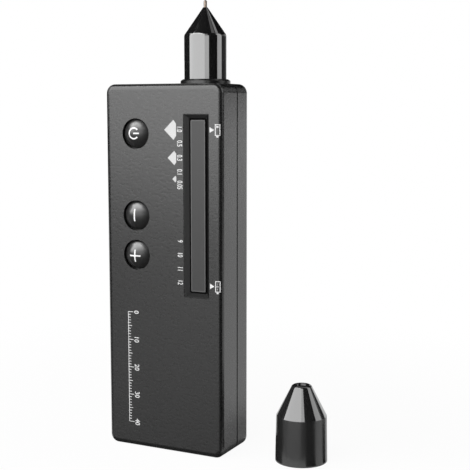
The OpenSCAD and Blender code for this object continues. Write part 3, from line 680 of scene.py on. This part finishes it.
def wind_spring():
    """Round-wire spring of the probe, in place of the model's spring."""
    low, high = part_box("probe_spring")
    foot = Vector(((low.x + high.x) / 2, (low.y + high.y) / 2, low.z + WIRE_R))
    radius = (high.x - low.x) / 2 - WIRE_R
    up = Vector((0, 0, 1))
    points = []
    for ring in range(COIL_RINGS + 1):
        share = ring / COIL_RINGS
        turn = 2 * math.pi * COIL_TURNS * share
        out = Vector((math.cos(turn), math.sin(turn), 0))
        middle = foot + radius * out + share * (high.z - low.z - 2 * WIRE_R) * up
        for side in range(WIRE_SIDES):
            angle = 2 * math.pi * side / WIRE_SIDES
            points.append(middle + WIRE_R * (math.cos(angle) * out + math.sin(angle) * up))
    faces = [tuple(range(WIRE_SIDES)), tuple(range(COIL_RINGS * WIRE_SIDES, len(points)))[::-1]]
    for first in range(0, COIL_RINGS * WIRE_SIDES, WIRE_SIDES):
        for side in range(WIRE_SIDES):
            after = (side + 1) % WIRE_SIDES
            here = (first + after, first + side)
            beyond = (first + WIRE_SIDES + side, first + WIRE_SIDES + after)
            faces.append(here + beyond)
    mesh = bpy.data.meshes.new("probe_coil")
    mesh.from_pydata(points, [], faces)
    mesh.polygons.foreach_set("use_smooth", [len(face) == 4 for face in faces])
    mesh.materials.append(nodes["probe_spring"].material_slots[0].material)
    coil = put("probe_coil", mesh)
    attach(coil, "case")
    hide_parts("probe_spring")
    stroke = next(joint["range_m"][1] for joint in frame["joints"] if joint["name"] == "probe_press")
    1 - stroke / (high.z - low.z)
    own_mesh(coil)


# Studio

AMBIENT = 0.25
WHITE = 1.0
FLOOR_PAPER = 0.88
FLOOR_DROP = 0.05 * MM
FLOOR_SIZE = 4.0
FLOOR_SHOWN = 0.95
FLOOR_FADE = (0.07, 0.25)
CLOTH_GRAIN = 2 * MM
# Glow of the side sheet on the floor: painted light that the case's right side mirrors.
SIDE_PAINTED_GLOW = 0.18
CARD_LIFT = 0.3 * MM
CAP_CARD_LIFT = 1.5 * CARD_LIFT
CURVE_STEPS = 12

# Upright lamps round the tip: name, turn from and to, low and high edge, distance, radiance
UPRIGHT_LAMPS = (
    ("front_box_left", -93, -66, 0.15, 0.85, 0.75, 2.7),
    ("front_box_mid_left", -66, -34, 0.053, 0.85, 0.75, 2.7),
    ("front_box_mid_right", -34, -3, 0.053, 0.85, 0.75, 2.7),
    ("front_box_right", -3, 20, 0.15, 0.25, 0.75, 2.7),
    ("front_box_right_high", -3, 14, 0.47, 0.66, 0.75, 2.7),
    ("side_strip", 68, 97, 0.15, 0.80, 0.75, 1.05),
    ("low_box_front", 112, 126, 0.0, 0.10, 0.80, 0.1),
    ("low_box_back", 126, 150, 0.0, 0.10, 0.80, 0.45),
    ("low_box_front_rim", 112, 126, 0.10, 0.132, 0.80, 0.4),
    ("low_box_back_rim", 126, 150, 0.10, 0.132, 0.80, 1.15))

# Lamps above, aimed at the tip: name, turn, lift, distance, width, height, radiance
HIGH_LAMPS = (
    ("top_streak", 79, 64, 0.9, 0.16, 0.16, 0.47),
    ("top_box", -56, 53, 0.9, 0.85, 0.26, 4.9),
    ("top_box_left", -98, 36, 0.9, 0.32, 0.16, 3.3))

# Curved upright cards round the tip: name, turn from and to, low and high edge, distance, cloth
UPRIGHT_CARDS = (
    ("card_left", -166, -93, 0.0, 1.2, 0.9, "dark"),
    ("card_left_low", -93, -66, 0.0, 0.15, 0.74, "dark"),
    ("card_right_low", -3, 118, 0.0, 0.15, 0.74, "dark"),
    ("card_right_front", -3, 68, 0.0, 1.2, 0.9, "dark"),
    ("card_right_back_low", 100, 150, 0.15, 0.25, 0.9, "grey"),
    ("card_right_back", 100, 150, 0.25, 0.52, 0.9, "pale"),
    ("card_right_back_high", 100, 172, 0.52, 1.2, 0.9, "dark"),
    ("card_behind_low", 150, 172, 0.33, 0.52, 0.9, "dark"),
    ("card_behind", 172, 200, 0.18, 0.8, 0.9, "dark"))

# Level card above the tip, which ends short of the back
TOP_CARD_HALF = 0.95
TOP_CARD_BACK = 0.35
TOP_CARD_Z = 1.2

# Sheets on the floor round the case, as corners of (x, y)
CARD_FRONT = ((-0.8, -0.75), (0.8, -0.75), (0.8, -0.012), (-0.8, -0.012))
# The two foot sheets are darker than the floor and show in gloss only: painted contact shade that the
# case's lower edges mirror, over the real shadow the case casts on them.
CARD_FOOT_SHADE = (
    (-0.024, -0.012), (0.024, -0.012), (0.024, -0.008), (-0.022, -0.008), (-0.022, 0.01), (-0.024, 0.01))
CARD_SIDE_FOOT_SHADE = (
    (0.024, -0.012), (0.026, -0.012), (0.026, 0.0125), (0.0215, 0.0125), (0.0215, -0.008), (0.024, -0.008))
CARD_SIDE = ((0.026, -0.012), (0.034, -0.010), (0.042, 0.03), (0.042, 0.06), (0.026, 0.042))

# Sheets on the floor round the cap: name, turn from and to, reach
CAP_FANS = (("left", -166, -98, 11 * MM), ("front", 14, 61, 60 * MM), ("back", 104, 130, 60 * MM))

# Low upright card between the cap and the case
FLAG_GAP = 6 * MM
FLAG_FRONT = 14 * MM
FLAG_BACK = 6 * MM
FLAG_TOP = 6 * MM


def seen_directly(finish):
    """1 for what the camera sees, in a straight line, in gloss or through glass."""
    path = "ShaderNodeLightPath"
    camera = finish.add(path, output="Is Camera Ray")
    glossy = finish.add(path, output="Is Glossy Ray")
    through = finish.add(path, output="Is Transmission Ray")
    return camera.larger(glossy).larger(through)


def white_world():
    world = bpy.data.worlds.new("white_studio")
    bpy.context.scene.world = world
    world.use_nodes = True
    finish = Finish(world.node_tree)
    ambient = finish.add("ShaderNodeBackground", inputs={"Color": grey(1), "Strength": AMBIENT})
    white = finish.add("ShaderNodeBackground", inputs={"Color": grey(1), "Strength": WHITE})
    sky = finish.add("ShaderNodeMixShader", inputs={0: seen_directly(finish), 1: ambient, 2: white})
    finish.add("ShaderNodeOutputWorld", inputs={"Surface": sky})


def stage_mesh(name, corners, faces, material):
    """Piece of the studio, which isn't part of the object."""
    mesh = bpy.data.meshes.new(name)
    mesh.from_pydata(corners, [], faces)
    mesh.materials.append(material)
    piece = put(name, mesh)
    return piece


def level_sheet(name, half_x, front_y, back_y, z, material):
    """Level rectangle that reaches half_x to both sides."""
    corners = [(-half_x, front_y, z), (half_x, front_y, z), (half_x, back_y, z), (-half_x, back_y, z)]
    return stage_mesh(name, corners, [(0, 1, 2, 3)], material)


def white_floor():
    """Pale floor that fades to white and keeps the object's shadow."""
    material, finish = new_finish("white_floor_finish")
    paper = finish.add("ShaderNodeBsdfDiffuse", inputs={"Color": grey(FLOOR_PAPER)})
    white = finish.add("ShaderNodeEmission", inputs={"Color": grey(1), "Strength": WHITE})
    distance = finish.add("ShaderNodeVectorMath", {"operation": "LENGTH"}, {0: finish.place()}, "Value")
    shown = (FLOOR_SHOWN + (1 - FLOOR_SHOWN) * distance.rise(*FLOOR_FADE)) * seen_directly(finish)
    mix = finish.add("ShaderNodeMixShader", inputs={0: shown, 1: paper, 2: white})
    finish.add("ShaderNodeOutputMaterial", inputs={"Surface": mix})
    half = FLOOR_SIZE / 2
    level_sheet("white_floor", half, -half, half, -FLOOR_DROP, material)


def heading(turn):
    """Level direction that lies turn degrees to the right of the camera, seen from the tip."""
    angle = math.radians(CAMERA_TURN + turn)
    return Vector((math.sin(angle), -math.cos(angle), 0))


def lamp(name, place, out, width, height, radiance):
    """Rectangular lamp at place that shines back along out."""
    light = bpy.data.lights.new(name, "AREA")
    light.shape = "RECTANGLE"
    light.size = width
    light.size_y = height
    light.energy = radiance * math.pi * light.size * light.size_y
    box = put(name, light)
    box.location = place
    box.rotation_euler = out.to_track_quat("Z", "Y").to_euler()


def upright_lamp(name, turn_from, turn_to, low, high, distance, radiance):
    """Lamp that spans the given turns and heights round the tip."""
    width = 2 * distance * math.tan(math.radians(turn_to - turn_from) / 2)
    out = heading((turn_from + turn_to) / 2)
    place = Vector((TIP_AXIS.x, TIP_AXIS.y, (low + high) / 2)) + out * distance
    lamp(name, place, out, width, high - low, radiance)


def high_lamp(name, turn, lift, distance, width, height, radiance):
    """Lamp above, aimed at the tip."""
    rise = math.radians(lift)
    out = heading(turn) * math.cos(rise) + Vector((0, 0, math.sin(rise)))
    lamp(name, TIP_AXIS + out * distance, out, width, height, radiance)


def spread(turn_from, turn_to):
    """Even turns from the first to the second."""
    return [turn_from + (turn_to - turn_from) * i / CURVE_STEPS for i in range(CURVE_STEPS + 1)]


def upright_card(name, turn_from, turn_to, low, high, distance, material):
    """Curved card, unseen by the camera itself."""
    axis = Vector((TIP_AXIS.x, TIP_AXIS.y, 0))
    foot = [axis + heading(turn) * distance for turn in spread(turn_from, turn_to)]
    corners = [spot + Vector((0, 0, z)) for z in (low, high) for spot in foot]
    faces = [(i, i + 1, CURVE_STEPS + 2 + i, CURVE_STEPS + 1 + i) for i in range(CURVE_STEPS)]
    stage_mesh(name, corners, faces, material).visible_camera = False


def gloss_card(name, corners, material):
    """Flat card that shows in gloss only."""
    card = stage_mesh(name, corners, [tuple(range(len(corners)))], material)
    card.visible_camera = False
    card.visible_shadow = False
    card.visible_diffuse = False


def floor_card(name, corners, material, lift=CARD_LIFT):
    """Sheet that lies just above the floor and shows in gloss only."""
    gloss_card(name, [(x, y, lift) for x, y in corners], material)


def fan(centre, radius, turn_from, turn_to, reach):
    """Corners of the floor that a round of that radius mirrors towards the camera between two turns."""
    turns = spread(turn_from, turn_to)
    foot = [centre + heading(turn / 2) * radius for turn in turns]
    rim = [spot + heading(turn) * reach for spot, turn in zip(foot, turns)]
    return [(spot.x, spot.y) for spot in rim + foot[::-1]]


def card_cloth(name, low, high, glow=0.0):
    """Matt cloth, which may glow a little by itself; that glow is painted light."""
    material, finish = new_finish(name)
    cloth = finish.grain(CLOTH_GRAIN)
    finish.surface(
        Base_Color=cloth.blend(grey(low), grey(high)),
        Roughness=0.9,
        Specular_IOR_Level=0.0,
        Emission_Color=grey(1),
        Emission_Strength=glow)
    return material


def card_one_sided():
    """Dark cloth on its front, clear from behind."""
    material, finish = new_finish("one_sided_card_finish")
    cloth = finish.grain(CLOTH_GRAIN).blend(grey(0.01), grey(0.02))
    dark = finish.add("ShaderNodeBsdfDiffuse", inputs={"Color": cloth})
    clear = finish.add("ShaderNodeBsdfTransparent")
    behind = finish.add("ShaderNodeNewGeometry", output="Backfacing")
    mix = finish.add("ShaderNodeMixShader", inputs={0: behind, 1: dark, 2: clear})
    finish.add("ShaderNodeOutputMaterial", inputs={"Surface": mix})
    return material


def card_gloss():
    """Black acrylic sheet, dark from above and bright at a low angle."""
    material, finish = new_finish("gloss_card_finish")
    haze = finish.grain(20 * MM)
    finish.surface(Base_Color=grey(0.01), Roughness=0.16 + 0.04 * haze, IOR=1.30)
    return material


def cap_cards(dark):
    """Sheets round the cap, and a low card beside it that is dark towards the cap alone."""
    low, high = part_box("tip_cap")
    axis = middle_of("tip_cap")
    radius = (high.x - low.x) / 2
    for name, turn_from, turn_to, reach in CAP_FANS:
        corners = fan(axis, radius, turn_from, turn_to, reach)
        floor_card(f"cap_card_{name}", corners, dark, CAP_CARD_LIFT)
    x = low.x - FLAG_GAP
    front = axis.y - FLAG_FRONT
    back = axis.y + FLAG_BACK
    corners = [(x, front, CARD_LIFT), (x, back, CARD_LIFT), (x, back, FLAG_TOP), (x, front, FLAG_TOP)]
    gloss_card("cap_card_flag", corners, card_one_sided())


def studio():
    white_world()
    white_floor()
    dark = card_cloth("dark_card_finish", 0.01, 0.02)
    grey_cloth = card_cloth("grey_card_finish", 0.12, 0.15)
    pale_cloth = card_cloth("pale_card_finish", 0.52, 0.58)
    cloths = {"dark": dark, "grey": grey_cloth, "pale": pale_cloth}
    for settings in UPRIGHT_LAMPS:
        upright_lamp(*settings)
    for settings in HIGH_LAMPS:
        high_lamp(*settings)
    for *settings, cloth in UPRIGHT_CARDS:
        upright_card(*settings, cloths[cloth])
    top = level_sheet("card_top", TOP_CARD_HALF, -TOP_CARD_HALF, TOP_CARD_BACK, TOP_CARD_Z, dark)
    top.visible_camera = False
    floor_card("card_front", CARD_FRONT, card_gloss())
    # Foot sheets: painted contact shade in the gloss of the case's lower edges.
    floor_card("card_foot_shade", CARD_FOOT_SHADE, grey_cloth)
    floor_card("card_side_foot_shade", CARD_SIDE_FOOT_SHADE, pale_cloth)
    # The side sheet glows a little: painted light, seen in the gloss of the case's right side.
    floor_card("card_side", CARD_SIDE, card_cloth("side_glow_card_finish", 0.92, 0.96, SIDE_PAINTED_GLOW))
    cap_cards(dark)


def camera():
    lens = bpy.data.cameras.new("camera")
    lens.lens = CAMERA_LENS
    view = put("camera", lens)
    tilt = math.radians(CAMERA_TILT)
    back = heading(0) * math.cos(tilt) + Vector((0, 0, math.sin(tilt)))
    view.location = CAMERA_PLACE
    view.rotation_euler = back.to_track_quat("Z", "Y").to_euler()
    bpy.context.scene.camera = view


dress_nodes()
wind_spring()
face_ink = white_ink("face_ink_finish", 0.56, 0.68)
stone_ink = white_ink("stone_ink_finish", 0.40, 0.62)
print_face(face_ink, stone_ink)
print_buttons(white_ink("sign_ink_finish", 0.72, 0.84))
studio()
camera()
bpy.context.scene.view_settings.view_transform = "Standard"
